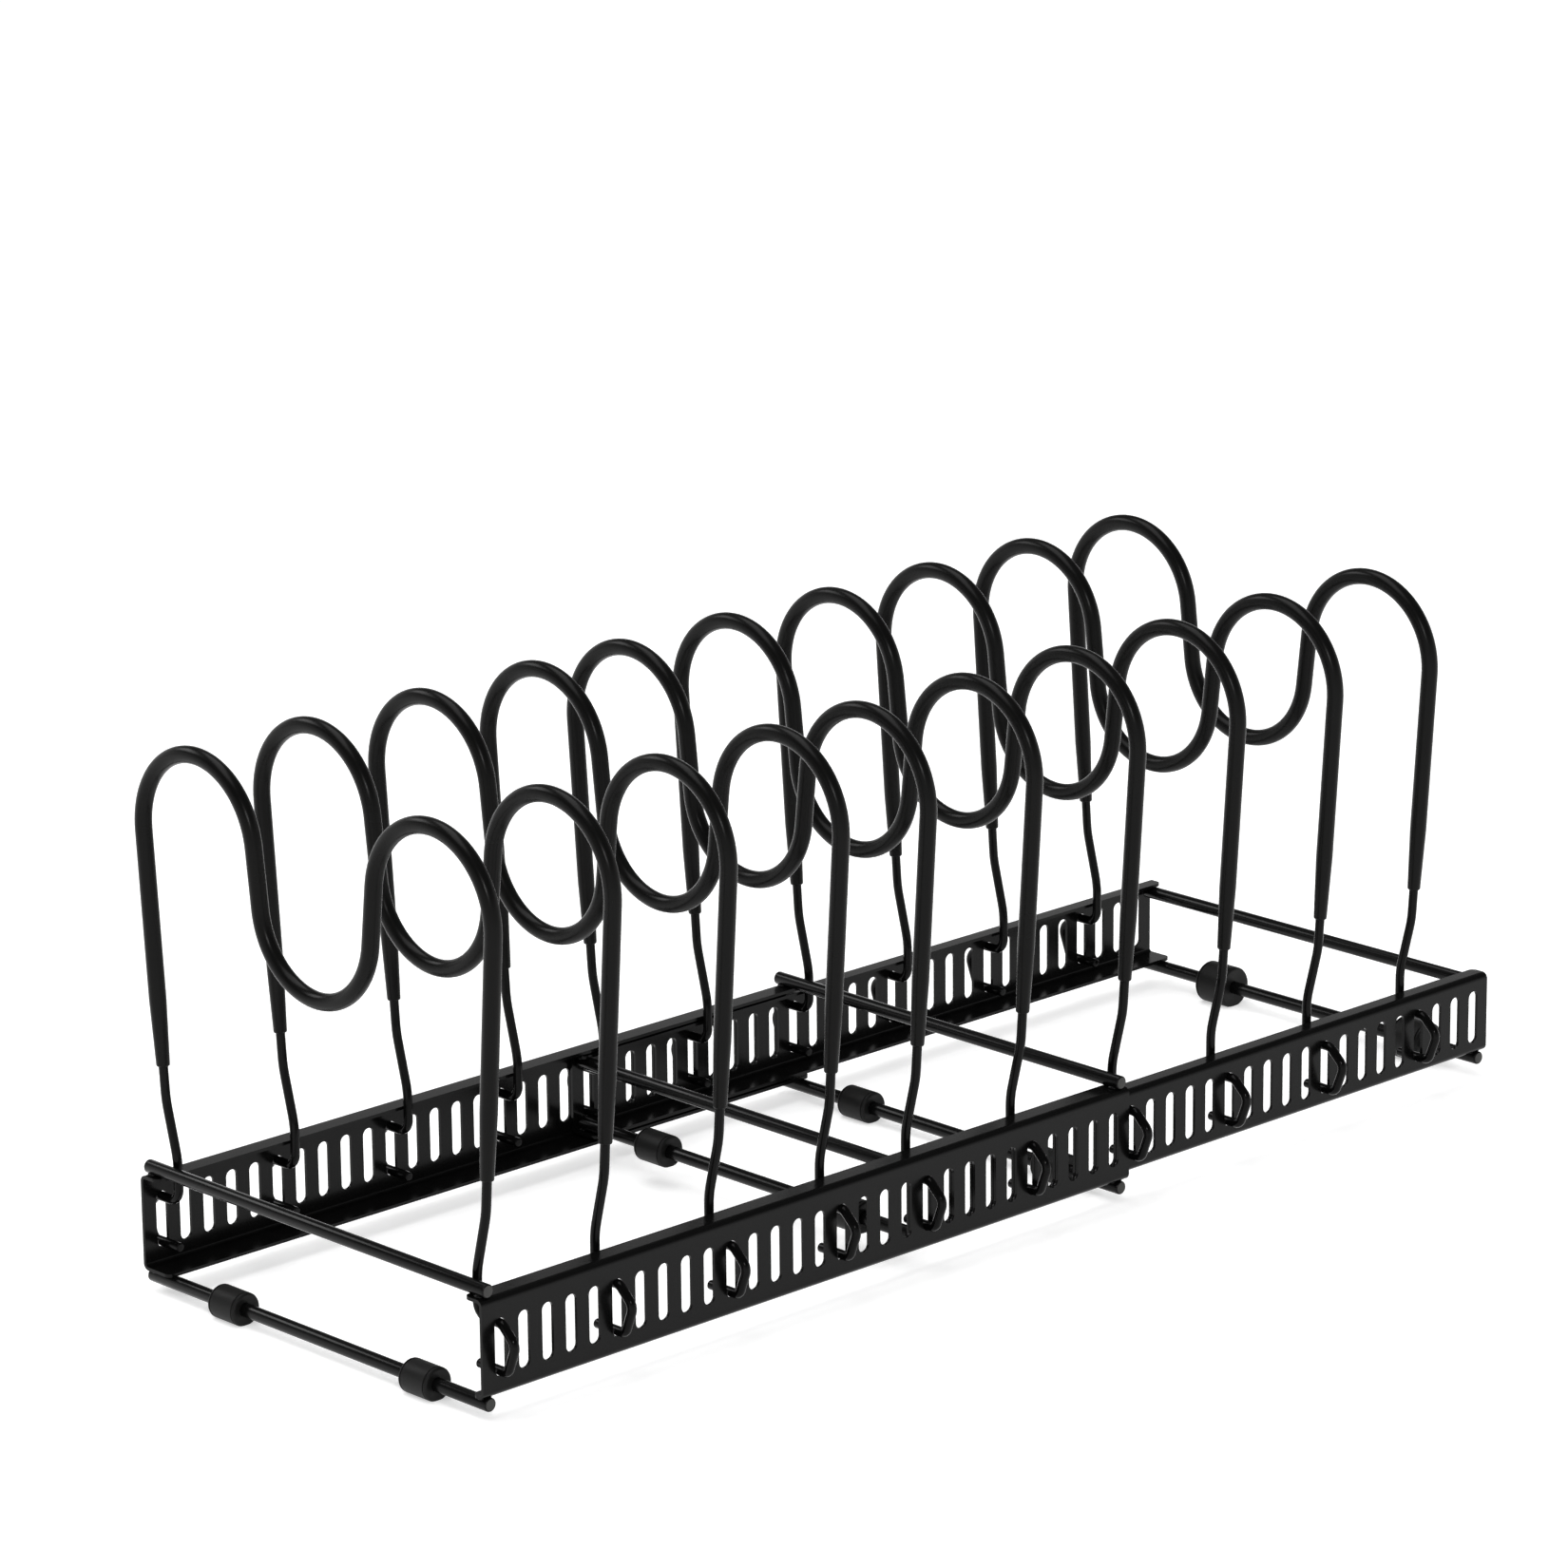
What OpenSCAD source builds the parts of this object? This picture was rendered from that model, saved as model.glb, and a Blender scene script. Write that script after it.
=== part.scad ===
// Expandable pot lid rack: two telescoping halves of slotted, folded rails
// joined by welded cross rods, with bent-wire dividers hooked into the slots.
// X runs along the rack, -Y is the front, +Z is up and Z = 0 is the floor
// under the rubber feet. The outer half is on the left, the inner on the right.

/* [Rails] */
// Distance between the outer faces of the outer front and back rails
rack_w = 180; // [150:1:230]
// Height of an outer rail
rail_h = 35; // [33:0.5:50]
// Thickness of the folded sheet
sheet_t = 1.2; // [0.8:0.1:1.5]
// Outside radius of the folds between web and flanges
fold_r = 2.4; // [2:0.1:3]
// Width of the top flange, from the web's outer face
top_flange_w = 9; // [8:0.5:12]
// Width of the front rails' bottom flange, from the web's outer face
front_flange_w = 6; // [5.5:0.5:10]
// Width of the back rails' bottom flange, from the web's outer face
back_flange_w = 14; // [12:0.5:18]
// Radius on the free corners of the flanges
flange_corner_r = 2.5; // [1:0.5:4]

/* [Slots] */
// Distance between the centres of neighbouring slots
slot_pitch = 10.5; // [9.5:0.5:14]
// Slots in each rail
slot_count = 29; // [26:1:36]
// Width of a slot
slot_w = 5; // [4.4:0.1:5.6]
// Length of a slot, end to end
slot_l = 20.5; // [16:0.5:22]
// Height of a slot's centre above the outer rail's bottom
slot_mid_h = 17; // [16:0.5:19]
// Distance from the last slot's centre to the rail's end
end_margin = 8; // [7.5:0.5:12]

/* [Telescoping] */
// Slots by which the inner half is drawn out of the outer half
extension = 19; // [17:1:24]
// Gap between the inner and the outer rails' webs
web_gap = 0.3; // [0.2:0.1:0.6]
// Gap between the inner and the outer rails' flanges
flange_gap = 0.8; // [0.3:0.1:1]

/* [Cross rods] */
// Diameter of a cross rod
rod_d = 5; // [4:0.1:5]
// Distance from a rail's end to the centre of its cross rod
rod_inset = 3.5; // [2.6:0.1:3.5]
// Distance from a rod's end to the outer face of the rail that it is welded to
rod_setback = 0.5; // [0:0.1:1.5]
// Chamfer on the ends of rods and wires
end_chamfer = 0.5; // [0.2:0.1:0.7]

/* [Feet] */
// Diameter of a rubber foot on the outer half
foot_d = 12.2; // [9:0.1:14]
// Length of a rubber foot along its rod
foot_l = 14.2; // [10:0.1:20]
// Rounding of a foot's rims
foot_rim_r = 1; // [0.5:0.1:1.5]
// Depth by which a foot is pressed flat where it stands
foot_flat = 0.6; // [0.1:0.05:0.7]
// Gap around the rod inside a foot
foot_clearance = 0.05; // [0.02:0.01:0.1]
// Distance from the front rail's outer face to the front feet
front_foot_inset = 34; // [32:1:50]
// Distance from the back rail's outer face to the back feet
back_foot_inset = 45; // [32:1:50]

/* [Dividers] */
// Dividers on the outer half, counted from its first slot
outer_dividers = 4; // [2:1:4]
// Dividers on the inner half, counted from its first slot
inner_dividers = 6; // [2:1:6]
// Slots from one divider to the next
divider_step = 5; // [3:1:5]
// Diameter of the bare wire
wire_d = 3.4; // [2.8:0.1:3.6]
// Outside diameter of the soft sleeve over the wire
sleeve_d = 6.2; // [5:0.1:7]
// Outside diameter of the sleeve at its lower ends
sleeve_tip_d = 4.9; // [4.4:0.1:5.4]
// Length over which the sleeve narrows towards its lower ends
sleeve_taper_l = 24; // [10:1:30]
// Gap between the sleeve's bore and the wire
sleeve_clearance = 0.05; // [0.02:0.01:0.1]
// Height of the humps' tops above the outer rail's bottom
divider_h = 193.5; // [160:0.5:230]
// Radius of a hump, at the wire's centre
hump_r = 30; // [24:0.5:34]
// Drop from the humps' tops to the valley's floor, at the wire's centre
valley_drop = 73.4; // [62:0.2:90]
// Lean of the strands between humps and valley, in degrees
strand_lean = 6.5; // [3:0.5:9]
// Lean of the outer legs, in degrees
leg_lean = 4; // [2:0.5:5]
// How far the wire's centre stands outside the rails where a divider is widest
leg_out = 1; // [0:0.5:4]
// Height of the sleeve's lower ends above the outer rail's bottom
sleeve_end_h = 74; // [66:1:95]

/* [Hooks] */
// Height at which a bare leg turns in towards the rack
knee_h = 62; // [56:1:64]
// Radius of that turn
knee_r = 35; // [15:1:40]
// Height above the outer rail's top at which the leg turns upright again
ankle_rise = 6; // [5:0.5:8]
// Radius of that turn
ankle_r = 30; // [10:1:30]
// Gap between a leg and the edge of the top flange
flange_clearance = 0.4; // [0.2:0.1:1]
// Gap between the hook and the ends of its slot
hook_clearance = 0.15; // [0.1:0.05:0.4]
// Radius of the bend from the leg into the slot
heel_r = 5; // [3:0.5:6]
// How far outside the rail the hook turns down, at the wire's centre
shoulder_out = 0.9; // [0.6:0.1:1.5]
// Height over which the hook's arm slopes outwards
arm_drop = 6.2; // [5:0.1:7]
// Radius of the bends at the two ends of that arm
arm_r = 4; // [3:0.5:4.5]
// How far outside the rail the hook's elbow stands, at the wire's centre
loop_out = 7.6; // [6:0.1:10]
// How far outside the rail the hook turns back into the slot, at the wire's centre
toe_out = 3.6; // [2.6:0.1:5]
// Radius of the bend back into the slot
toe_r = 3; // [2.5:0.1:3.5]
// Distance from the rail's outer face to the end of the wire inside
stub_in = 11; // [9:0.5:13]

/* [Hidden] */
SIDES = ["front", "back"];
HALVES = ["outer_left", "outer_right", "inner_left", "inner_right"];
divider_count = outer_dividers + inner_dividers;

$fn = 32;
eps = 0.01;
steel = [0.13, 0.13, 0.135];
rubber = [0.08, 0.08, 0.08];
vinyl = [0.1, 0.1, 0.105];

half_w = rack_w / 2;
rail_l = (slot_count - 1) * slot_pitch + 2 * end_margin;
middle_slot = (slot_count - 1 + extension) / 2;
outer_x = -(rail_l + extension * slot_pitch) / 2;
inner_x = outer_x + extension * slot_pitch;

// Heights of the rods and rails above the floor
foot_axis_z = foot_d / 2 - foot_flat;
rail_z = foot_axis_z + rod_d / 2;
rail_top_z = rail_z + rail_h;

// The inner rail lies inside the outer one
inner_rise = sheet_t + flange_gap;
inner_set = sheet_t + web_gap;
inner_h = rail_h - 2 * inner_rise;
inner_face = half_w - inner_set;
inner_rod_end = inner_face - fold_r;
inner_foot_d = foot_d + 2 * inner_rise;

// Straight stretches of wire are thinner by this radius and run this far into the bends
joint_step = 0.01;
joint_lap = 0.25;

// The wire of one divider, as [distance from the middle, height], from the middle outwards
wire_top = rail_z + divider_h - sleeve_d / 2;
valley_z = wire_top - valley_drop;
hump_y = half_w + leg_out - hump_r;
valley_r = (hump_y - valley_drop * tan(strand_lean)) / tan((90 - strand_lean) / 2) - hump_r;
ankle_y = half_w - top_flange_w - flange_clearance - wire_d / 2;
slot_z = rail_z + slot_mid_h;
hook_reach = slot_l / 2 - hook_clearance - wire_d / 2;
hook_top = slot_z + hook_reach;
hook_bottom = slot_z - hook_reach;

// A bend: [centre, radius, angle at its start, sweep], where a negative sweep is clockwise
valley_bend = [[0, valley_z + valley_r], valley_r, 180 + strand_lean, 180 - 2 * strand_lean];
hump_bend = [[hump_y, wire_top - hump_r], hump_r, 180 - strand_lean, strand_lean - leg_lean - 180];
knee = leg_at(rail_z + knee_h);
ankle = [ankle_y, rail_top_z + ankle_rise];
heel = [ankle_y, hook_top];
shoulder = [half_w + shoulder_out, hook_top];
elbow = [half_w + loop_out, hook_top - arm_drop];
toe = [half_w + toe_out, hook_bottom];
stub = [half_w - stub_in, hook_bottom];
knee_bend = corner_bend(on_bend(hump_bend, 1), knee, ankle, knee_r);
ankle_bend = corner_bend(knee, ankle, heel, ankle_r);
heel_bend = corner_bend(ankle, heel, shoulder, heel_r);
shoulder_bend = corner_bend(heel, shoulder, elbow, arm_r);
elbow_bend = corner_bend(shoulder, elbow, toe, arm_r);
toe_bend = corner_bend(elbow, toe, stub, toe_r);
sleeve_bends = [valley_bend, hump_bend];
leg_bends = [knee_bend, ankle_bend, heel_bend];
hook_bends = [shoulder_bend, elbow_bend, toe_bend];
wire_bends = concat(sleeve_bends, leg_bends, hook_bends);
sleeve_end = leg_at(rail_z + sleeve_end_h);

// The point at a share of a bend's sweep
function on_bend(bend, share) =
    let (angle = bend[2] + share * bend[3])
    bend[0] + bend[1] * [cos(angle), sin(angle)];

// The leg's centre at height z
function leg_at(z) =
    let (top = on_bend(hump_bend, 1))
    [top[0] - (top[1] - z) * tan(leg_lean), z];

function unit(v) = v / norm(v);
function heading(v) = atan2(v[1], v[0]);

// The bend that rounds a corner between two straight stretches
function corner_bend(before, corner, after, r) =
    let (
        back = unit(before - corner),
        ahead = unit(after - corner),
        half_angle = acos(back * ahead) / 2,
        centre = corner + unit(back + ahead) * r / sin(half_angle),
        start = heading(corner + back * r / tan(half_angle) - centre),
        end = heading(corner + ahead * r / tan(half_angle) - centre)
    )
    [centre, r, start, (end - start + 540) % 360 - 180];

function slot_x(i) = (i - middle_slot) * slot_pitch;

function divider_slot(i) =
    i < outer_dividers
    ? i * divider_step
    : extension + (i - outer_dividers) * divider_step;

// Lays what is drawn in the XY plane into the YZ plane, with its extrusions along X
module across_rack() {
    rotate([90, 0, 90]) children();
}

module for_side(side) {
    mirror([0, side == "back" ? 1 : 0, 0]) children();
}

module fold(r, t, turn_to) {
    rotate(turn_to) difference() {
        intersection() {
            circle(r);
            square(r);
        }
        circle(r - t);
    }
}

// Folded section of a rail, with its outer face at x = 0 and its flanges to the right
module rail_section(h, top_w, bottom_w) {
    translate([0, fold_r]) square([sheet_t, h - 2 * fold_r]);
    translate([fold_r, 0]) square([bottom_w - fold_r, sheet_t]);
    translate([fold_r, h - sheet_t]) square([top_w - fold_r, sheet_t]);
    translate([fold_r, fold_r]) fold(fold_r, sheet_t, 180);
    translate([fold_r, h - fold_r]) fold(fold_r, sheet_t, 90);
}

module slot_hole(depth) {
    straight_l = slot_l - slot_w;
    translate([0, -eps, 0]) rotate([-90, 0, 0]) linear_extrude(depth + 2 * eps) {
        square([slot_w, straight_l], center = true);
        translate([0, straight_l / 2]) circle(d = slot_w);
        translate([0, -straight_l / 2]) circle(d = slot_w);
    }
}

// Cuts the free corner of a flange round: the flange ends at x = 0 and y = 0
module corner_cut(r) {
    translate([0, 0, -eps]) linear_extrude(sheet_t + 2 * eps) difference() {
        translate([-eps, -r]) square([r + eps, r + eps]);
        translate([r, -r]) circle(r);
    }
}

module rounded_flange_ends(flange_w, z) {
    r = min(flange_corner_r, flange_w - fold_r);
    for (end = [0, 1]) {
        translate([end * rail_l, flange_w, z]) mirror([end, 0, 0]) corner_cut(r);
    }
}

// A rail with its left end at x = 0, its outer face at y = 0 and its bottom at z = 0
module rail(h, top_w, bottom_w, slot_h) {
    color(steel) difference() {
        across_rack() linear_extrude(rail_l) rail_section(h, top_w, bottom_w);
        for (i = [0:slot_count - 1]) {
            translate([end_margin + i * slot_pitch, 0, slot_h]) slot_hole(sheet_t);
        }
        rounded_flange_ends(bottom_w, 0);
        rounded_flange_ends(top_w, h - sheet_t);
    }
}

function bottom_flange_w(side) = side == "front" ? front_flange_w : back_flange_w;

module outer_rail(side) {
    for_side(side) translate([outer_x, -half_w, rail_z]) {
        rail(rail_h, top_flange_w, bottom_flange_w(side), slot_mid_h);
    }
}

module inner_rail(side) {
    bottom_w = bottom_flange_w(side) - inner_set;
    for_side(side) translate([inner_x, -inner_face, rail_z + inner_rise]) {
        rail(inner_h, top_flange_w - inner_set, bottom_w, slot_mid_h - inner_rise);
    }
}

// A rod along Y, centred on the origin, with chamfered ends
module cross_rod(length) {
    straight_l = length - 2 * end_chamfer;
    tip_d = rod_d - 2 * end_chamfer;
    color(steel) rotate([90, 0, 0]) {
        cylinder(h = straight_l, d = rod_d, center = true);
        for (end = [0, 1]) {
            mirror([0, 0, end]) translate([0, 0, straight_l / 2]) {
                cylinder(h = end_chamfer, d1 = rod_d, d2 = tip_d);
            }
        }
    }
}

// Where a rod lies: [x, z, length]
function top_rod(end) =
    end == "outer_left" ? [outer_x + rod_inset, rail_top_z + rod_d / 2, outer_rod_l]
    : end == "outer_right" ? [outer_x + rail_l - rod_inset, rail_top_z + rod_d / 2, outer_rod_l]
    : end == "inner_left" ? [inner_x + rod_inset, inner_top_rod_z, 2 * inner_rod_end]
    : [inner_x + rail_l - rod_inset, inner_top_rod_z, 2 * inner_rod_end];

function bottom_rod(end) =
    end == "outer_left" ? [outer_x + rod_inset, foot_axis_z, outer_rod_l]
    : end == "outer_right" ? [outer_x + rail_l - rod_inset, foot_axis_z, outer_rod_l]
    : end == "inner_left" ? [inner_x + rod_inset, inner_low_rod_z, 2 * inner_rod_end]
    : [inner_x + rail_l - rod_inset, foot_axis_z + inner_rise, 2 * (inner_face - rod_setback)];

outer_rod_l = rack_w - 2 * rod_setback;
inner_top_rod_z = rail_top_z - inner_rise - sheet_t - rod_d / 2;
inner_low_rod_z = rail_z + inner_rise + sheet_t + rod_d / 2;

module rod_at(place) {
    translate([place[0], 0, place[1]]) cross_rod(place[2]);
}

// A rubber foot along Y, centred on the origin, pressed flat underneath
module foot(d) {
    r = d / 2;
    bore_r = rod_d / 2 + foot_clearance;
    color(rubber) difference() {
        rotate([90, 0, 0]) rotate_extrude() {
            translate([bore_r, -foot_l / 2]) square([r - foot_rim_r - bore_r, foot_l]);
            translate([bore_r, foot_rim_r - foot_l / 2]) square([r - bore_r, foot_l - 2 * foot_rim_r]);
            for (side = [-1, 1]) {
                translate([r - foot_rim_r, side * (foot_l / 2 - foot_rim_r)]) circle(foot_rim_r);
            }
        }
        translate([-r, -foot_l, -r - d]) cube([d, 2 * foot_l, d + foot_flat]);
    }
}

module foot_at(end, side) {
    place = bottom_rod(end);
    d = end == "inner_right" ? inner_foot_d : foot_d;
    y = side == "front" ? front_foot_inset - half_w : half_w - back_foot_inset;
    translate([place[0], y, place[1]]) foot(d);
}

module bent_wire(bend, d, bore) {
    start = min(bend[2], bend[2] + bend[3]);
    translate(bend[0]) rotate(start) rotate_extrude(angle = abs(bend[3])) translate([bend[1], 0]) {
        rotate(-90) difference() {
            circle(d = d);
            if (bore > 0) circle(d = bore);
        }
    }
}

// A straight stretch, run into the bend before it. Its other end runs into the next
// bend, or is a free end that narrows to a tip.
module straight_wire(from, to, d, bore, tip_l, tip_r) {
    run = to - from;
    length = norm(run) + (tip_l > 0 ? 0 : joint_lap);
    r = d / 2 - joint_step;
    inner_r = bore > 0 ? bore / 2 + joint_step : 0;
    translate(from) rotate([0, 90, heading(run)]) rotate_extrude() polygon([
        [inner_r, -joint_lap],
        [r, -joint_lap],
        [r, length - tip_l],
        [tip_l > 0 ? tip_r : r, length],
        [inner_r, length]
    ]);
}

// A round wire, or a tube with that bore, symmetrical about its first bend. Its two
// ends narrow over tip_l to the radius tip_r.
module wire_along(bends, end, d, bore, tip_l, tip_r) {
    last = len(bends) - 1;
    bent_wire(bends[0], d, bore);
    for (side = [0, 1]) mirror([side, 0, 0]) {
        for (i = [1:last]) bent_wire(bends[i], d, bore);
        for (i = [0:last]) {
            from = on_bend(bends[i], 1);
            to = i < last ? on_bend(bends[i + 1], 0) : end;
            straight_wire(from, to, d, bore, i < last ? 0 : tip_l, tip_r);
        }
    }
}

module divider(i) {
    color(steel) translate([slot_x(divider_slot(i)), 0, 0]) across_rack() {
        wire_along(wire_bends, stub, wire_d, 0, end_chamfer, wire_d / 2 - end_chamfer);
    }
}

module divider_sleeve(i) {
    color(vinyl) translate([slot_x(divider_slot(i)), 0, 0]) across_rack() {
        bore = wire_d + 2 * sleeve_clearance;
        wire_along(sleeve_bends, sleeve_end, sleeve_d, bore, sleeve_taper_l, sleeve_tip_d / 2);
    }
}

for (side = SIDES) {
    outer_rail(side);
    inner_rail(side);
}
for (end = HALVES) {
    rod_at(top_rod(end));
    rod_at(bottom_rod(end));
}
for (end = HALVES) for (side = SIDES) {
    foot_at(end, side);
}
for (i = [0:divider_count - 1]) {
    divider(i);
    divider_sleeve(i);
}
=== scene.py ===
import math

import bmesh
import bpy
from mathutils import Matrix, Vector


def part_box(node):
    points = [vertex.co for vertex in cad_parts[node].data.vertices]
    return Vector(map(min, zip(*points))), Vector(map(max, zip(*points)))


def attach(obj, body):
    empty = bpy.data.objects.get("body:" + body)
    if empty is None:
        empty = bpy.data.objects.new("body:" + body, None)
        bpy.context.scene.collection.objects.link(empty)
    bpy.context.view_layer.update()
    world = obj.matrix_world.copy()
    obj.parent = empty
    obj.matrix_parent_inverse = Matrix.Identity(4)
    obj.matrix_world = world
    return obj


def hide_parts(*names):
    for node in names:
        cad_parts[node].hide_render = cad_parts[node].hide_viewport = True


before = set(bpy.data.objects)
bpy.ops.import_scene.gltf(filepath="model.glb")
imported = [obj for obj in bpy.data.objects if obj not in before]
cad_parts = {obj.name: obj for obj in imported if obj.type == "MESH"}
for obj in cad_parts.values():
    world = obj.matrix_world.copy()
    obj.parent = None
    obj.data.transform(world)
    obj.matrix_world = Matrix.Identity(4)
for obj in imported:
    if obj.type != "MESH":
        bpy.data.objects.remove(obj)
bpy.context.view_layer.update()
MM = 0.001

# Camera
# A long lens, a little above the rack and in front of its outer half's corner. It
# takes a square frame, and the focal length is in that frame's pixels.
IMAGE_WIDTH = 1650
FOCAL_LENGTH_PX = 6958
SENSOR_WIDTH = 36
CLIP_END = 20
CAMERA_PLACE = Vector((-1591, -1642.3, 803.4)) * MM
AZIMUTH = math.radians(43.56)
ELEVATION = math.radians(15.94)
ROLL = math.radians(-0.6)

ahead = Vector((
    math.sin(AZIMUTH) * math.cos(ELEVATION),
    math.cos(AZIMUTH) * math.cos(ELEVATION),
    -math.sin(ELEVATION),
))
level = ahead.cross(Vector((0, 0, 1))).normalized()
upright = level.cross(ahead)
image_x = level * math.cos(ROLL) + upright * math.sin(ROLL)
image_y = upright * math.cos(ROLL) - level * math.sin(ROLL)

camera = bpy.data.objects.new("camera", bpy.data.cameras.new("camera"))
bpy.context.scene.collection.objects.link(camera)
camera.data.sensor_width = SENSOR_WIDTH
camera.data.lens = FOCAL_LENGTH_PX / IMAGE_WIDTH * SENSOR_WIDTH
camera.data.clip_end = CLIP_END
camera.matrix_world = Matrix((image_x, image_y, -ahead)).transposed().to_4x4()
camera.location = CAMERA_PLACE
bpy.context.scene.camera = camera
bpy.context.scene.view_settings.view_transform = "Standard"


# Floor and light
# A white table with a white backdrop round it, under a dim ceiling with a long
# softbox overhead, one to the front and one behind, which draw soft lines along steel.
SKY_STRENGTH = 0.7
CEILING_STRENGTH = 0.12
BACKDROP_RISE = (0.1, 0.46)
FLOOR_HALF = 8
FLOOR_COLOR = (0.8, 0.8, 0.8, 1)
FLOOR_GLOW = 0.44
WHITE = (1, 1, 1, 1)
LIGHTS_AIM = Vector((0, 0, 0.1))


class Value:
    """A shader socket that can be used in arithmetic."""

    def __init__(self, finish, socket):
        self.finish = finish
        self.socket = socket

    def _math(self, operation, *values):
        return self.finish.node("ShaderNodeMath", {"operation": operation}, dict(enumerate(values)))

    def __add__(self, other):
        return self._math("ADD", self, other)

    def __sub__(self, other):
        return self._math("SUBTRACT", self, other)

    def __rsub__(self, other):
        return self._math("SUBTRACT", other, self)

    def __mul__(self, other):
        return self._math("MULTIPLY", self, other)

    __radd__ = __add__
    __rmul__ = __mul__


class Finish:
    """A material, or the world, made of nodes."""

    def __init__(self, owner):
        self.owner = owner
        owner.use_nodes = True
        self.tree = owner.node_tree
        self.tree.nodes.clear()

    def node(self, kind, settings=None, sockets=None, output=0):
        """Makes a node, sets or links its sockets, and gives one of its outputs."""
        made = self.tree.nodes.new(kind)
        for name, value in (settings or {}).items():
            setattr(made, name, value)
        for name, value in (sockets or {}).items():
            if isinstance(value, Value):
                self.tree.links.new(value.socket, made.inputs[name])
            else:
                made.inputs[name].default_value = value
        return Value(self, made.outputs[output]) if made.outputs else made


def in_view(finish):
    """Above 0 where the camera sees this: straight, in a gloss or through something clear."""
    seen = finish.node("ShaderNodeLightPath", output="Is Camera Ray")
    seen_in_gloss = finish.node("ShaderNodeLightPath", output="Is Glossy Ray")
    seen_through = finish.node("ShaderNodeLightPath", output="Is Transmission Ray")
    return seen + seen_in_gloss + seen_through


scene = bpy.context.scene
scene.world = bpy.data.worlds.new("studio")
sky = Finish(scene.world)
direction = sky.node("ShaderNodeTexCoord", output="Generated")
rise = sky.node("ShaderNodeSeparateXYZ", sockets={"Vector": direction}, output="Z")
backdrop = sky.node("ShaderNodeMapRange", {"interpolation_type": "SMOOTHSTEP"}, {
    "Value": rise,
    "From Min": BACKDROP_RISE[0],
    "From Max": BACKDROP_RISE[1],
    "To Min": 1,
    "To Max": CEILING_STRENGTH,
})
sky.node("ShaderNodeOutputWorld", sockets={
    "Surface": sky.node("ShaderNodeBackground", sockets={
        "Color": WHITE,
        "Strength": SKY_STRENGTH + in_view(sky) * (backdrop - SKY_STRENGTH),
    }),
})

floor_mesh = bmesh.new()
bmesh.ops.create_grid(floor_mesh, x_segments=1, y_segments=1, size=FLOOR_HALF)
floor = bpy.data.objects.new("floor", bpy.data.meshes.new("floor"))
floor_mesh.to_mesh(floor.data)
floor_mesh.free()
scene.collection.objects.link(floor)

table_top = Finish(bpy.data.materials.new("table_top"))
matt = table_top.node("ShaderNodeBsdfDiffuse", sockets={"Color": FLOOR_COLOR})
glow = table_top.node("ShaderNodeEmission", sockets={
    "Color": WHITE,
    "Strength": in_view(table_top) * FLOOR_GLOW,
})
table_top.node("ShaderNodeOutputMaterial", sockets={
    "Surface": table_top.node("ShaderNodeAddShader", sockets={0: matt, 1: glow}),
})
floor.data.materials.append(table_top.owner)


def softbox(name, place, width, height, watts):
    """A lit rectangle that faces the rack."""
    lamp = bpy.data.objects.new(name, bpy.data.lights.new(name, "AREA"))
    lamp.data.shape = "RECTANGLE"
    lamp.data.size = width
    lamp.data.size_y = height
    lamp.data.energy = watts
    lamp.location = place
    lamp.rotation_euler = (LIGHTS_AIM - Vector(place)).to_track_quat("-Z", "Y").to_euler()
    scene.collection.objects.link(lamp)


softbox("overhead", place=(-0.2, 0.3, 1.7), width=1.8, height=0.9, watts=16)
softbox("front", place=(-1.5, -1.9, 1.4), width=0.36, height=0.36, watts=14)
softbox("back", place=(-0.6, 1.5, 1.25), width=0.9, height=0.5, watts=7)


# Rails
# Four C-shaped rails of thin steel sheet, punched with a row of slots, folded and
# powder coated a semi-gloss black. The inner pair slides inside the outer pair.
EDGE_ROUNDING = 0.22 * MM
EDGE_STEPS = 2
FLAT = math.radians(0.5)
SHARP = math.radians(40)
MERGE_DISTANCE = 0.001 * MM
DARKER_COAT = (0.85, 0.85, 0.84)
LIGHTER_COAT = (1.15, 1.15, 1.16)
# Painted highlight: the lighter grey painted on the rods' cut end faces.
PAINTED_END_HIGHLIGHT_COLOR = (0.05, 0.05, 0.048, 1)


def piece(name, mesh, material, slot, *nodes):
    """Makes a finished piece of a bmesh, which stands for these nodes, if any."""
    made = bpy.data.objects.new(name, bpy.data.meshes.new(name))
    mesh.normal_update()
    mesh.to_mesh(made.data)
    mesh.free()
    scene.collection.objects.link(made)
    made.data.materials.append(material)
    made.data.shade_smooth()
    made.data.set_sharp_from_angle(angle=SHARP)
    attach(made, "root")
    if nodes:
        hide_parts(*nodes)
    return made


def blend(finish, share, first, second):
    """A colour that goes from the first to the second with this share."""
    sockets = {"Factor": share, 6: first, 7: second}
    return finish.node("ShaderNodeMix", {"data_type": "RGBA"}, sockets, output=2)


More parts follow.
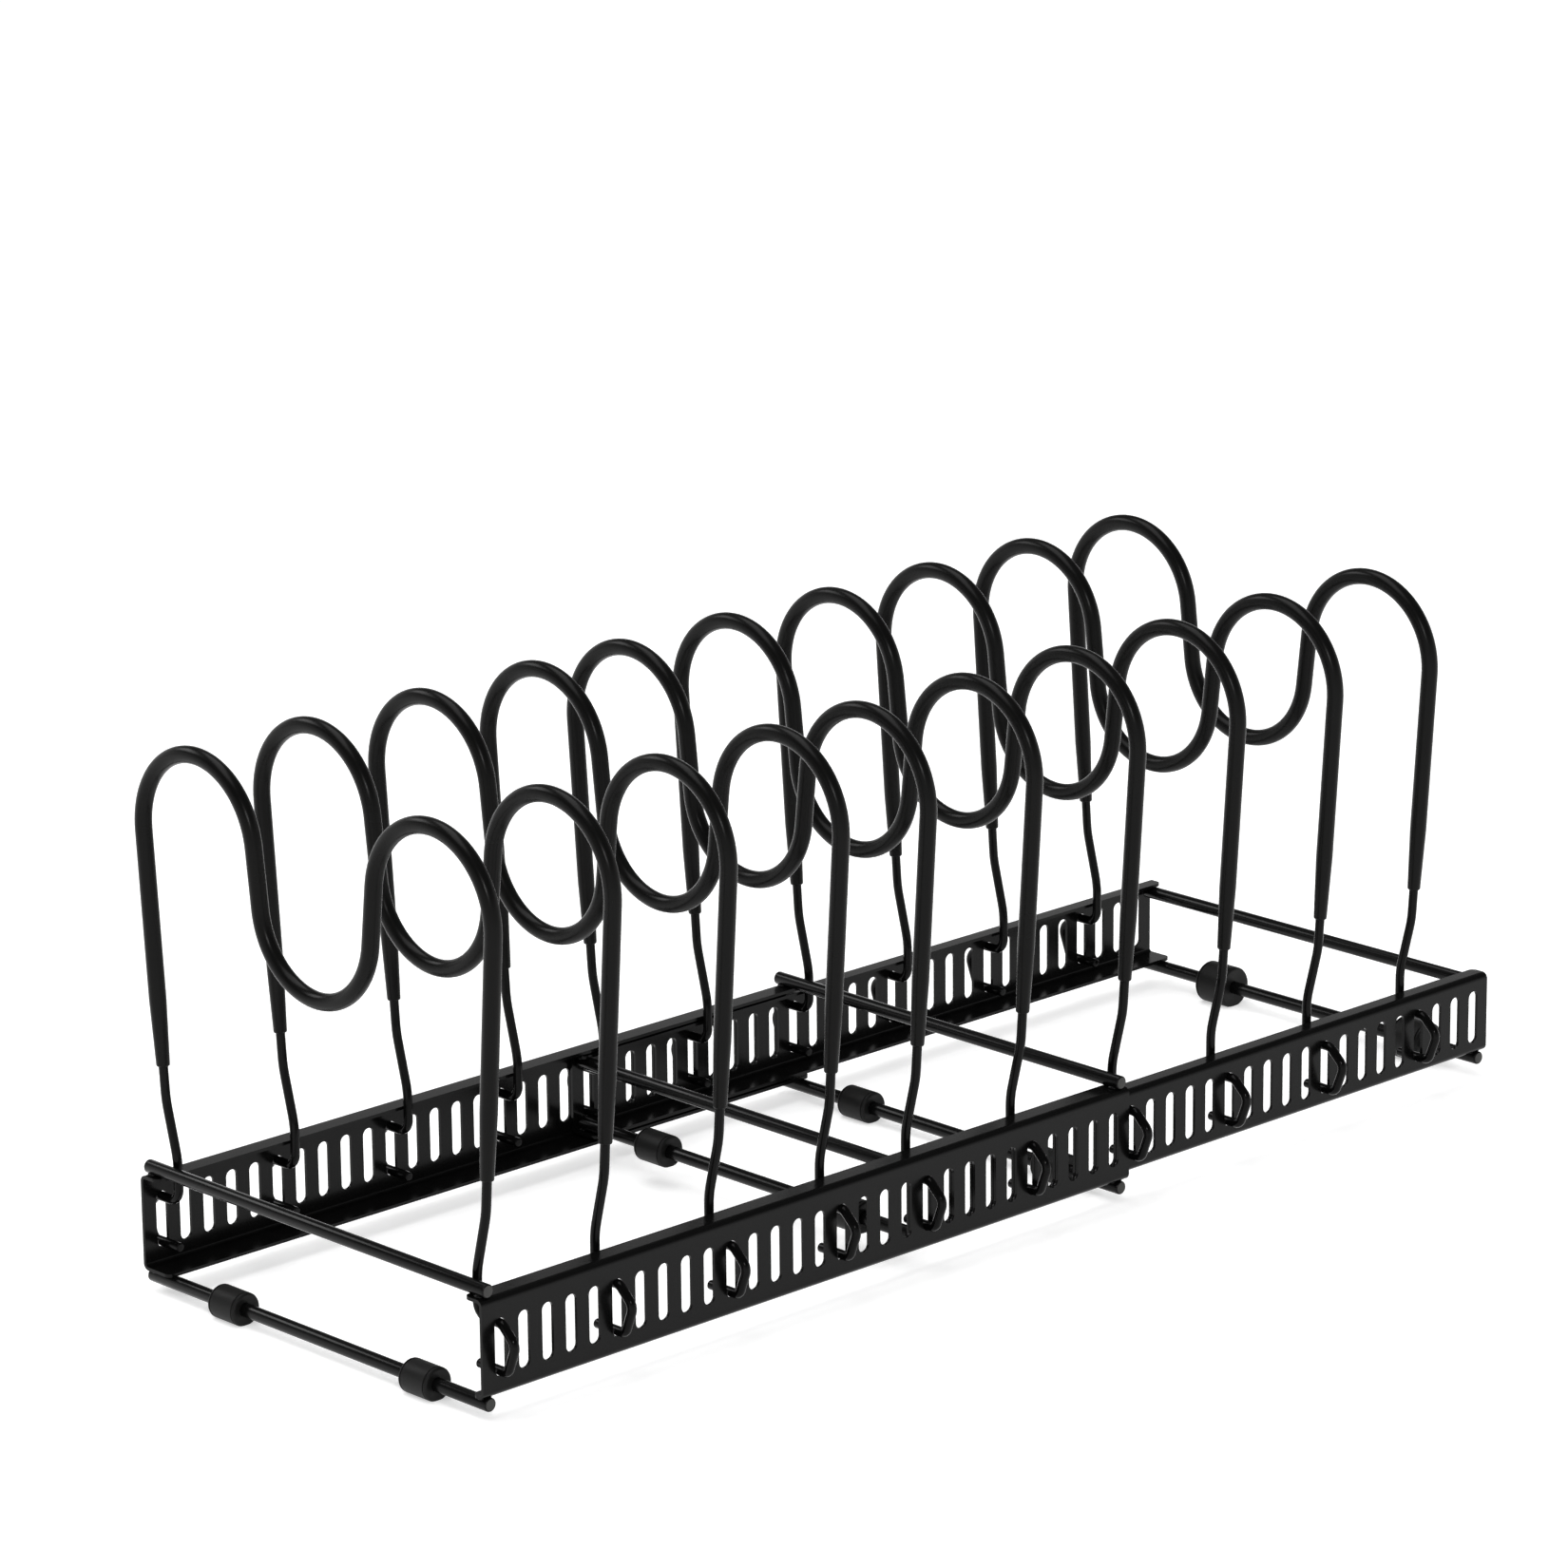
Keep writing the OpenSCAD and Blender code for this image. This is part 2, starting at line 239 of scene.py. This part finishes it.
def coating(name, grey, roughness, specular):
    """Powder coating: a black that varies a little, with a faint orange peel.

    It is painted a lighter grey where the mesh's end-face attribute is set: a painted highlight.
    """
    coat = Finish(bpy.data.materials.new(name))
    place = coat.node("ShaderNodeTexCoord", output="Object")
    cloud = coat.node("ShaderNodeTexNoise", sockets={"Vector": place, "Scale": 38, "Detail": 3})
    peel = coat.node("ShaderNodeTexNoise", sockets={"Vector": place, "Scale": 620, "Detail": 2})
    speck = coat.node("ShaderNodeTexNoise", sockets={"Vector": place, "Scale": 3100, "Detail": 1})
    darker = (*(grey * share for share in DARKER_COAT), 1)
    lighter = (*(grey * share for share in LIGHTER_COAT), 1)
    mottled_coat = blend(coat, cloud, darker, lighter)
    # Painted highlight: where the end-face attribute is set, the coat is painted the lighter grey.
    painted_highlight_share = coat.node("ShaderNodeAttribute", {"attribute_name": "painted_end_highlight"}, output="Fac")
    color = blend(coat, painted_highlight_share, mottled_coat, PAINTED_END_HIGHLIGHT_COLOR)
    bump = coat.node("ShaderNodeBump", sockets={
        "Strength": 0.35,
        "Distance": 0.02 * MM,
        "Height": peel + speck * 0.25,
    })
    coat.node("ShaderNodeOutputMaterial", sockets={
        "Surface": coat.node("ShaderNodeBsdfPrincipled", sockets={
            "Base Color": color,
            "Roughness": roughness - 0.05 + cloud * 0.06 + peel * 0.04,
            "Specular IOR Level": specular,
            "Normal": bump,
        }),
    })
    return coat.owner


rail_coat = coating("rail_coat", grey=0.0028, roughness=0.2, specular=0.13)
for rail in ("outer_front_rail", "outer_back_rail", "inner_front_rail", "inner_back_rail"):
    sheet = bmesh.new()
    sheet.from_mesh(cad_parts[rail].data)
    bmesh.ops.remove_doubles(sheet, verts=sheet.verts, dist=MERGE_DISTANCE)
    bmesh.ops.dissolve_limit(sheet, angle_limit=FLAT, verts=sheet.verts, edges=sheet.edges)
    edges = [edge for edge in sheet.edges if edge.is_manifold and edge.calc_face_angle() > SHARP]
    bmesh.ops.bevel(sheet, geom=edges, offset=EDGE_ROUNDING, segments=EDGE_STEPS, profile=0.5,
                    affect="EDGES", material=-1, clamp_overlap=True)
    made = piece(f"{rail}_sheet", sheet, rail_coat, "rail_coating", rail)
    flat_faces = made.modifiers.new("flat_faces", "WEIGHTED_NORMAL")
    flat_faces.weight = 100
    flat_faces.keep_sharp = True


# Cross rods
# Round steel rods, cut square with their ends broken, welded to the rails' flanges
# and coated with them. Their cut end faces are painted a lighter grey: a painted highlight.
HALVES = ("outer_left", "outer_right", "inner_left", "inner_right")
ROD_AROUND = 48
ROD_END_ROUNDING = 0.6 * MM
ROD_END_STEPS = 4
ROD_FACE_DEPTH = 0.01 * MM


def turned(outline, axis_at, around):
    """Turns an outline of (distance from the axis, place along it) about a line along Y."""
    mesh = bmesh.new()
    chain = [mesh.verts.new(axis_at + Vector((0, along, distance))) for distance, along in outline]
    edges = [mesh.edges.new(pair) for pair in zip(chain, chain[1:])]
    bmesh.ops.spin(mesh, geom=chain + edges, cent=axis_at, axis=(0, 1, 0), angle=math.tau,
                   steps=around, use_merge=True)
    bmesh.ops.remove_doubles(mesh, verts=mesh.verts, dist=MERGE_DISTANCE)
    bmesh.ops.recalc_face_normals(mesh, faces=mesh.faces)
    return mesh


def quarter(centre, radius, start, steps):
    """Points on a quarter circle in the outline's plane."""
    angles = [start + math.pi / 2 * step / steps for step in range(steps + 1)]
    return [(centre[0] + radius * math.cos(a), centre[1] + radius * math.sin(a)) for a in angles]


rod_coat = coating("rod_coat", grey=0.0026, roughness=0.22, specular=0.14)
for half in HALVES:
    for level_name in ("top", "bottom"):
        rod = f"{half}_{level_name}_rod"
        rod_low, rod_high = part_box(rod)
        middle = (rod_low + rod_high) / 2
        radius = (rod_high.z - rod_low.z) / 2
        reach = (rod_high.y - rod_low.y) / 2
        corner = ROD_END_ROUNDING
        outline = (
            [(0, -reach)]
            + quarter((radius - corner, corner - reach), corner, -math.pi / 2, ROD_END_STEPS)
            + quarter((radius - corner, reach - corner), corner, 0, ROD_END_STEPS)
            + [(0, reach)]
        )
        bar = turned(outline, middle, ROD_AROUND)
        # Marks the cut end faces, which get a painted highlight.
        painted_end_highlight = bar.verts.layers.float.new("painted_end_highlight")
        for vert in bar.verts:
            vert[painted_end_highlight] = float(abs(vert.co.y - middle.y) > reach - ROD_FACE_DEPTH)
        piece(f"{rod}_bar", bar, rod_coat, "rod_coating", rod)


# Weld beads
# Two short fillets weld each rod to each flange that it crosses, one on either side
# of the line where they touch. They are coated together with the rods.
BEAD_HALF_SIZES = Vector((0.9, 1.7, 0.75)) * MM
BEAD_FROM_RAIL_FACE = 3.8 * MM
BEAD_FROM_ROD_LINE = 1.7 * MM
BEAD_FROM_FLANGE = 0.35 * MM
RODS_ON_FLANGES = ("outer_left_top_rod", "outer_right_top_rod", "inner_left_bottom_rod")

for half in HALVES:
    rails = half.split("_")[0]
    face_ys = (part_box(f"{rails}_front_rail")[0].y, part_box(f"{rails}_back_rail")[1].y)
    for level_name in ("top", "bottom"):
        rod = f"{half}_{level_name}_rod"
        rod_low, rod_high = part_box(rod)
        line_x = (rod_low.x + rod_high.x) / 2
        if rod in RODS_ON_FLANGES:
            bead_z = rod_low.z + BEAD_FROM_FLANGE
        else:
            bead_z = rod_high.z - BEAD_FROM_FLANGE
        beads = bmesh.new()
        for face_y in face_ys:
            bead_y = face_y - math.copysign(BEAD_FROM_RAIL_FACE, face_y)
            for side in (-1, 1):
                place = Matrix.Translation((line_x + side * BEAD_FROM_ROD_LINE, bead_y, bead_z))
                bmesh.ops.create_uvsphere(beads, u_segments=16, v_segments=10, radius=1,
                                          matrix=place @ Matrix.Diagonal((*BEAD_HALF_SIZES, 1)))
        piece(f"{rod}_welds", beads, rod_coat, "rod_coating")


# Feet
# Thick moulded rubber rings pushed onto the bottom rods. A fine groove runs round
# each end behind a rounded shoulder, the ends are dished, and the underside is flat.
FOOT_AROUND = 64
FOOT_SHOULDER = 1 * MM
FOOT_SHOULDER_STEPS = 6
FOOT_GROOVE = 0.6 * MM
FOOT_BORE = 2.55 * MM
FOOT_DISH = 0.6 * MM
DISH_BEND_ACROSS = 0.45
DISH_BEND_DEPTH = 0.75
DARKER_RUBBER = (0.005, 0.005, 0.0049, 1)
LIGHTER_RUBBER = (0.008, 0.008, 0.0078, 1)


def rubber_finish():
    """Moulded rubber: matt, with a fine skin."""
    rubber = Finish(bpy.data.materials.new("foot_rubber"))
    place = rubber.node("ShaderNodeTexCoord", output="Object")
    cloud = rubber.node("ShaderNodeTexNoise", sockets={"Vector": place, "Scale": 130, "Detail": 4})
    skin = rubber.node("ShaderNodeTexNoise", sockets={"Vector": place, "Scale": 2600, "Detail": 3})
    color = blend(rubber, cloud, DARKER_RUBBER, LIGHTER_RUBBER)
    bump = rubber.node("ShaderNodeBump", sockets={
        "Strength": 0.4,
        "Distance": 0.03 * MM,
        "Height": skin,
    })
    rubber.node("ShaderNodeOutputMaterial", sockets={
        "Surface": rubber.node("ShaderNodeBsdfPrincipled", sockets={
            "Base Color": color,
            "Roughness": 0.42 + cloud * 0.12,
            "Specular IOR Level": 0.15,
            "Normal": bump,
        }),
    })
    return rubber.owner


foot_rubber = rubber_finish()
for half in HALVES:
    for side in ("front", "back"):
        foot = f"{half}_{side}_foot"
        foot_low, foot_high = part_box(foot)
        radius = (foot_high.x - foot_low.x) / 2
        reach = (foot_high.y - foot_low.y) / 2
        middle = (foot_low + foot_high) / 2
        middle.z = foot_high.z - radius
        face = radius - FOOT_SHOULDER
        dish_bend = FOOT_BORE + (face - FOOT_BORE) * DISH_BEND_ACROSS
        front_end = (
            [(FOOT_BORE, FOOT_DISH - reach), (dish_bend, FOOT_DISH * DISH_BEND_DEPTH - reach)]
            + quarter((face, FOOT_SHOULDER - reach), FOOT_SHOULDER, -math.pi / 2, FOOT_SHOULDER_STEPS)
            + [(radius - FOOT_GROOVE, FOOT_SHOULDER + FOOT_GROOVE / 2 - reach)]
            + [(radius, FOOT_SHOULDER + FOOT_GROOVE - reach)]
        )
        back_end = [(distance, -along) for distance, along in reversed(front_end)]
        outline = front_end + back_end + front_end[:1]
        ring = turned(outline, middle, FOOT_AROUND)
        for vert in ring.verts:
            vert.co.z = max(vert.co.z, foot_low.z)
        piece(f"{foot}_ring", ring, foot_rubber, "foot_rubber", foot)


# Dividers
# Each is one steel wire bent to an M and coated black. Its legs turn in beside the
# top flange, and its hooks go out and back in through one slot at each side.
DIVIDERS = range(1, 11)
WIRE_RADIUS = 1.7 * MM
WIRE_AROUND = 24
WIRE_END_ROUNDING = 0.5 * MM
END_STEPS = 4
BEND_STEP = math.radians(4)
SLEEVE_RADIUS = 3.1 * MM
HUMP_RADIUS = 30 * MM
VALLEY_HEIGHT = 117 * MM
STRAND_LEAN = math.radians(6.5)
LEG_LEAN = math.radians(4)
LEG_OUT = 1 * MM
KNEE_HEIGHT = 62 * MM
KNEE_RADIUS = 35 * MM
ANKLE_ABOVE_RAIL = 6 * MM
ANKLE_RADIUS = 30 * MM
TOP_FLANGE_WIDTH = 9 * MM
FLANGE_CLEARANCE = 0.4 * MM
SLOT_MIDDLE_HEIGHT = 17 * MM
SLOT_LENGTH = 20.5 * MM
HOOK_CLEARANCE = 0.15 * MM
HEEL_RADIUS = 5 * MM
SHOULDER_OUT = 0.9 * MM
SHOULDER_RADIUS = 4 * MM
ELBOW_OUT = 7.6 * MM
ELBOW_DROP = 6.2 * MM
ELBOW_RADIUS = 4 * MM
TOE_OUT = 3.6 * MM
TOE_RADIUS = 3 * MM
STUB_IN = 11 * MM

rail_low, rail_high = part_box("outer_front_rail")
half_width = -rail_low.y
wire_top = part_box("divider_sleeve_1")[1].z - SLEEVE_RADIUS
valley_z = rail_low.z + VALLEY_HEIGHT
hump_y = half_width + LEG_OUT - HUMP_RADIUS
# A leaning strand joins hump and valley, and their tangents share the width it leaves.
both_tangents = hump_y - (wire_top - valley_z) * math.tan(STRAND_LEAN)
valley_radius = both_tangents / math.tan((math.pi / 2 - STRAND_LEAN) / 2) - HUMP_RADIUS
ankle_y = half_width - (TOP_FLANGE_WIDTH + FLANGE_CLEARANCE) - WIRE_RADIUS
slot_z = rail_low.z + SLOT_MIDDLE_HEIGHT
hook_reach = SLOT_LENGTH / 2 - HOOK_CLEARANCE - WIRE_RADIUS


class Bend:
    """A bend of wire in the plane of (y, z): a centre, a radius, a start and a sweep."""

    def __init__(self, centre, radius, start, sweep):
        self.centre = Vector(centre)
        self.radius = radius
        self.start = start
        self.sweep = sweep

    def at(self, share):
        """The point at this share of the sweep."""
        angle = self.start + share * self.sweep
        return self.centre + self.radius * Vector((math.cos(angle), math.sin(angle)))


def corner_bend(before, corner, after, radius):
    """The bend that rounds a corner between two straight stretches."""
    back = (before - corner).normalized()
    onward = (after - corner).normalized()
    half_angle = math.acos(back.dot(onward)) / 2
    centre = corner + (back + onward).normalized() * radius / math.sin(half_angle)
    first = corner + back * radius / math.tan(half_angle) - centre
    last = corner + onward * radius / math.tan(half_angle) - centre
    start = math.atan2(first.y, first.x)
    sweep = (math.atan2(last.y, last.x) - start + 3 * math.pi) % math.tau - math.pi
    return Bend(centre, radius, start, sweep)


valley = Bend((0, valley_z + valley_radius), valley_radius, -math.pi / 2, math.pi / 2 - STRAND_LEAN)
hump = Bend((hump_y, wire_top - HUMP_RADIUS), HUMP_RADIUS, math.pi - STRAND_LEAN,
            STRAND_LEAN - LEG_LEAN - math.pi)


def leg_at(height):
    """The point on the leg's middle line at this height."""
    top = hump.at(1)
    return Vector((top.x - (top.y - height) * math.tan(LEG_LEAN), height))


knee = leg_at(rail_low.z + KNEE_HEIGHT)
ankle = Vector((ankle_y, rail_high.z + ANKLE_ABOVE_RAIL))
heel = Vector((ankle_y, slot_z + hook_reach))
shoulder = Vector((half_width + SHOULDER_OUT, slot_z + hook_reach))
elbow = Vector((half_width + ELBOW_OUT, slot_z + hook_reach - ELBOW_DROP))
toe = Vector((half_width + TOE_OUT, slot_z - hook_reach))
stub = Vector((half_width - STUB_IN, slot_z - hook_reach))
knee_bend = corner_bend(hump.at(1), knee, ankle, KNEE_RADIUS)
ankle_bend = corner_bend(knee, ankle, heel, ANKLE_RADIUS)
heel_bend = corner_bend(ankle, heel, shoulder, HEEL_RADIUS)
shoulder_bend = corner_bend(heel, shoulder, elbow, SHOULDER_RADIUS)
elbow_bend = corner_bend(shoulder, elbow, toe, ELBOW_RADIUS)
toe_bend = corner_bend(elbow, toe, stub, TOE_RADIUS)


class Tube:
    """A round tube drawn along bends and straight stretches in the plane x = 0."""

    def __init__(self, start, radius, around):
        self.mesh = bmesh.new()
        self.radius = radius
        across = Matrix.Translation((0, *start)) @ Matrix.Rotation(math.pi / 2, 4, "X")
        made = bmesh.ops.create_circle(self.mesh, segments=around, radius=radius, matrix=across)
        self.ring = made["verts"]
        self.centre = Vector((0, *start))

    def edges(self):
        """The edges round the end that is being drawn."""
        ring = set(self.ring)
        return [edge for edge in self.mesh.edges if edge.verts[0] in ring and edge.verts[1] in ring]

    def bend(self, bend):
        """Draws the tube on along a bend."""
        steps = max(2, math.ceil(abs(bend.sweep) / BEND_STEP))
        made = bmesh.ops.spin(self.mesh, geom=self.ring + self.edges(), cent=(0, *bend.centre),
                              axis=(1, 0, 0), angle=bend.sweep, steps=steps)
        self.ring = [part for part in made["geom_last"] if isinstance(part, bmesh.types.BMVert)]
        self.centre = Vector((0, *bend.at(1)))

    def straight(self, to, radius=None):
        """Draws the tube straight on to a point, and to another radius if one is given."""
        made = bmesh.ops.extrude_edge_only(self.mesh, edges=self.edges())
        self.ring = [part for part in made["geom"] if isinstance(part, bmesh.types.BMVert)]
        onward = Vector((0, *to)) - self.centre
        bmesh.ops.translate(self.mesh, verts=self.ring, vec=onward)
        self.centre += onward
        if radius is not None:
            share = radius / self.radius
            bmesh.ops.scale(self.mesh, verts=self.ring, vec=(share,) * 3,
                            space=Matrix.Translation(-self.centre))
            self.radius = radius


def rounded_end(tube, direction, rounding, radius_left):
    """Rounds a tube's end over, down to this radius."""
    start = tube.centre.copy()
    outer = tube.radius
    for step in range(1, END_STEPS + 1):
        angle = math.pi / 2 * step / END_STEPS
        reach = start + direction * rounding * math.sin(angle)
        tube.straight(reach.yz, outer - (outer - radius_left) * (1 - math.cos(angle)))


def both_sides(mesh):
    """Adds the other side's mirror image to a mesh and turns all its faces outwards."""
    bmesh.ops.mirror(mesh, geom=mesh.verts[:] + mesh.edges[:] + mesh.faces[:], axis="Y",
                     merge_dist=MERGE_DISTANCE)
    bmesh.ops.recalc_face_normals(mesh, faces=mesh.faces)


def copy_at(mesh, node):
    """A copy of a mesh in the plane x = 0, moved along the rack to this node's middle."""
    node_low, node_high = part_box(node)
    copy = mesh.copy()
    bmesh.ops.translate(copy, verts=copy.verts, vec=((node_low.x + node_high.x) / 2, 0, 0))
    return copy


wire_coat = coating("wire_coat", grey=0.002, roughness=0.15, specular=0.1)
inward = Vector((0, -1, 0))
wire = Tube((0, valley_z), WIRE_RADIUS, WIRE_AROUND)
wire.bend(valley)
for bend in (hump, knee_bend, ankle_bend, heel_bend, shoulder_bend, elbow_bend, toe_bend):
    wire.straight(bend.at(0))
    wire.bend(bend)
wire.straight(stub - inward.yz * WIRE_END_ROUNDING)
rounded_end(wire, inward, WIRE_END_ROUNDING, WIRE_RADIUS - WIRE_END_ROUNDING)
bmesh.ops.edgeloop_fill(wire.mesh, edges=wire.edges())
both_sides(wire.mesh)
for number in DIVIDERS:
    divider = f"divider_{number}"
    piece(f"{divider}_wire", copy_at(wire.mesh, divider), wire_coat, "wire_coating", divider)


# Divider sleeves
# A soft black vinyl sleeve covers each wire's humps and valley. Its ends narrow
# towards the bare wire.
SLEEVE_AROUND = 32
SLEEVE_BORE = 1.75 * MM
SLEEVE_END_HEIGHT = 74 * MM
SLEEVE_END_RADIUS = 2.45 * MM
SLEEVE_TAPER = 24 * MM
SLEEVE_LIP = 0.6 * MM
DARKER_VINYL = (0.0026, 0.0026, 0.0025, 1)
LIGHTER_VINYL = (0.0046, 0.0046, 0.0044, 1)


def vinyl_finish():
    """Soft vinyl: satin, with a fine grain."""
    vinyl = Finish(bpy.data.materials.new("sleeve_vinyl"))
    place = vinyl.node("ShaderNodeTexCoord", output="Object")
    cloud = vinyl.node("ShaderNodeTexNoise", sockets={"Vector": place, "Scale": 60, "Detail": 3})
    grain = vinyl.node("ShaderNodeTexNoise", sockets={"Vector": place, "Scale": 1900, "Detail": 2})
    color = blend(vinyl, cloud, DARKER_VINYL, LIGHTER_VINYL)
    bump = vinyl.node("ShaderNodeBump", sockets={
        "Strength": 0.3,
        "Distance": 0.02 * MM,
        "Height": grain,
    })
    vinyl.node("ShaderNodeOutputMaterial", sockets={
        "Surface": vinyl.node("ShaderNodeBsdfPrincipled", sockets={
            "Base Color": color,
            "Roughness": 0.23 + cloud * 0.07,
            "Specular IOR Level": 0.1,
            "Normal": bump,
        }),
    })
    return vinyl.owner


sleeve_vinyl = vinyl_finish()
sleeve_end = leg_at(rail_low.z + SLEEVE_END_HEIGHT)
down = (sleeve_end - hump.at(1)).normalized()
outside = Tube((0, valley_z), SLEEVE_RADIUS, SLEEVE_AROUND)
bore = Tube((0, valley_z), SLEEVE_BORE, SLEEVE_AROUND)
for wall in (outside, bore):
    wall.bend(valley)
    wall.straight(hump.at(0))
    wall.bend(hump)
outside.straight(sleeve_end - down * SLEEVE_TAPER)
outside.straight(sleeve_end - down * SLEEVE_LIP, SLEEVE_END_RADIUS)
rounded_end(outside, Vector((0, *down)), SLEEVE_LIP, SLEEVE_BORE)
bore.straight(sleeve_end)
bmesh.ops.reverse_faces(bore.mesh, faces=bore.mesh.faces)
bore_mesh = bpy.data.meshes.new("bore")
bore.mesh.to_mesh(bore_mesh)
bore.mesh.free()
sleeve = outside.mesh
sleeve.from_mesh(bore_mesh)
bpy.data.meshes.remove(bore_mesh)
bmesh.ops.remove_doubles(sleeve, verts=sleeve.verts, dist=MERGE_DISTANCE)
both_sides(sleeve)
for number in DIVIDERS:
    covering = f"divider_sleeve_{number}"
    piece(f"{covering}_tube", copy_at(sleeve, covering), sleeve_vinyl, "sleeve_vinyl", covering)
